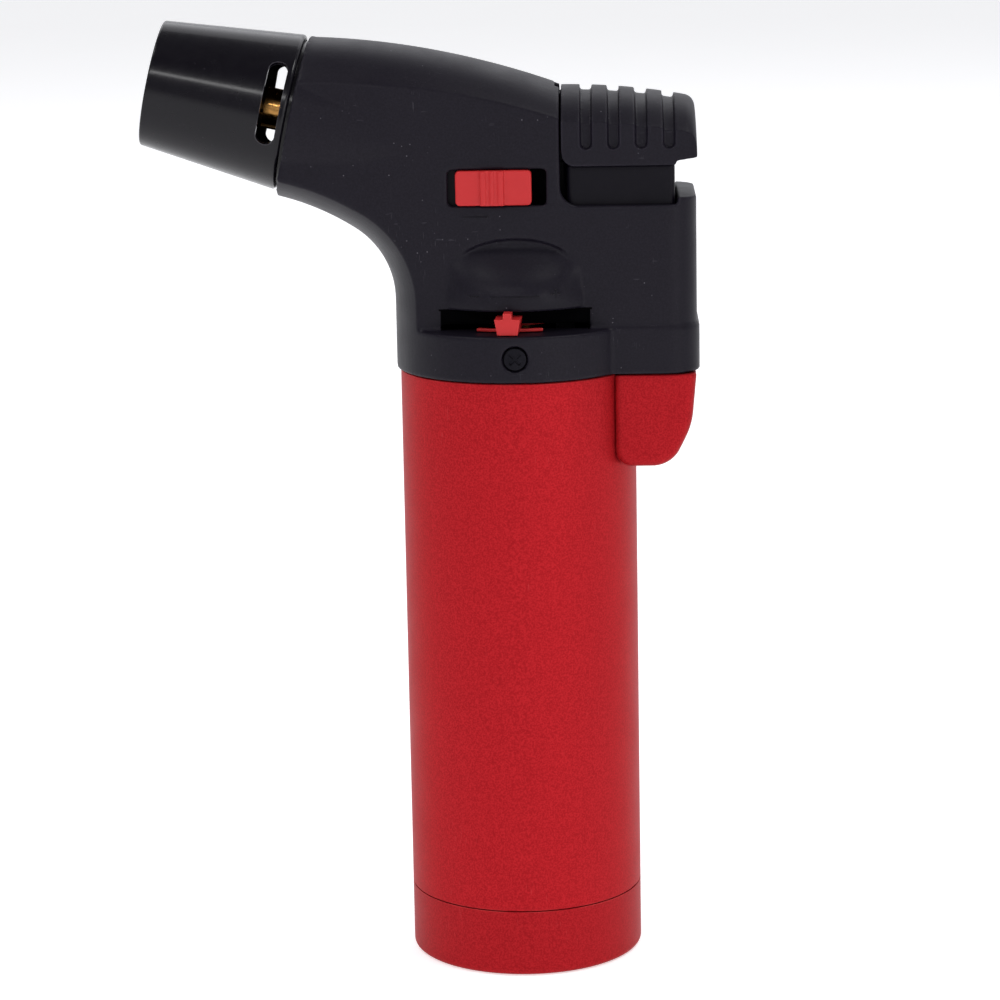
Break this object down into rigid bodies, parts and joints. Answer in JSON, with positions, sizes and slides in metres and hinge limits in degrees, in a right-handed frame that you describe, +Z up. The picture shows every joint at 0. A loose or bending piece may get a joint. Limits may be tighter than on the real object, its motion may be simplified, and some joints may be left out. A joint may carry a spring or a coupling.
{
  "type": "butane torch",
  "caption": "Hand-held butane torch with an angled flame nozzle, a ribbed push-down trigger, a sliding lock, a flame adjuster and a round tank that stands on its base.",
  "frame": {"origin": "centre of the base, on the plane that the torch stands on", "axes": "+Z up along the tank, -X towards the nozzle's side, +X towards the trigger's side, -Y towards the side with the lock and the adjuster"},
  "size_m": [0.0915, 0.0402, 0.1579],
  "materials": {
    "charcoal_plastic": "fine moulded texture, dark charcoal",
    "black_plastic": "smooth black moulding",
    "red_sleeve": "satin metallic red paint",
    "red_moulding": "plastic painted like the sleeve",
    "red_button": "bright red moulding",
    "black_metal": "black coated steel, satin gloss",
    "black_screw": "blackened steel",
    "brass": "turned brass",
    "steel": "turned and pressed steel",
    "spring_steel": "drawn wire",
    "nylon": "natural nylon, slightly see-through",
    "seal_rubber": "black nitrile rubber",
    "hose": "clear flexible hose",
    "wire_jacket": "red insulation",
    "ceramic": "unglazed white ceramic"
  },
  "bodies": {
    "housing": {"head_housing": "charcoal_plastic", "collar_screws": "black_screw", "body_sleeve": "red_sleeve", "base_cap": "red_moulding", "rear_pod": "red_moulding", "fuel_tank": "nylon", "fill_valve_body": "brass", "fill_valve_spring": "spring_steel", "tank_lid": "black_plastic", "lid_gasket": "seal_rubber", "outlet_valve_body": "brass", "valve_filter": "brass", "outlet_valve_spring": "spring_steel", "lever_pin": "steel", "nozzle_shroud": "black_metal", "nozzle_holder": "black_metal", "jet_holder": "brass", "gas_jet": "brass", "mixing_tube": "brass", "burner_cup": "steel", "flame_plate": "steel", "electrode_insulator": "ceramic", "electrode": "steel", "gas_hose": "hose", "ignition_wire": "wire_jacket", "ground_wire": "spring_steel", "piezo_case": "black_plastic", "piezo_spring": "spring_steel"},
    "trigger": {"trigger_cap": "charcoal_plastic", "trigger_body": "black_plastic", "piezo_plunger": "nylon"},
    "lever": {"valve_lever": "steel"},
    "outlet_stem": {"outlet_valve_stem": "brass", "stem_seal": "seal_rubber"},
    "lock": {"lock_slide": "red_button", "lock_carrier": "black_plastic"},
    "adjuster": {"adjuster_ring": "red_button"},
    "fill_stem": {"fill_valve_stem": "brass", "fill_valve_seal": "seal_rubber"}
  },
  "joints": [
    {"name": "trigger_slide", "type": "slide", "parent": "housing", "child": "trigger", "axis": [0, 0, -1], "range_m": [0, 0.0055], "stiffness_N_per_m": 2000, "springref_m": -0.002, "deforming": ["piezo_spring"]},
    {"name": "lever_hinge", "type": "hinge", "parent": "housing", "child": "lever", "pos_m": [0.008, 0, 0.1125], "axis": [0, 1, 0], "range_deg": [0, 7.34]},
    {"name": "stem_lift", "type": "slide", "parent": "housing", "child": "outlet_stem", "axis": [0, 0, 1], "range_m": [0, 0.00115], "deforming": ["outlet_valve_spring"]},
    {"name": "lock_travel", "type": "slide", "parent": "housing", "child": "lock", "axis": [1, 0, 0], "range_m": [-0.001, 0.002]},
    {"name": "adjuster_turn", "type": "hinge", "parent": "housing", "child": "adjuster", "pos_m": [0, 0, 0.109], "axis": [0, 0, 1], "range_deg": [-20.5, 27.5]},
    {"name": "fill_press", "type": "slide", "parent": "housing", "child": "fill_stem", "axis": [0, 0, 1], "range_m": [0, 0.001], "stiffness_N_per_m": 600, "springref_m": -0.001, "deforming": ["fill_valve_spring"]}
  ],
  "couplings": [
    {"joint": "lever_hinge", "follows": "trigger_slide", "rad_per_m": 23.23},
    {"joint": "stem_lift", "follows": "trigger_slide", "ratio": 0.209}
  ]
}
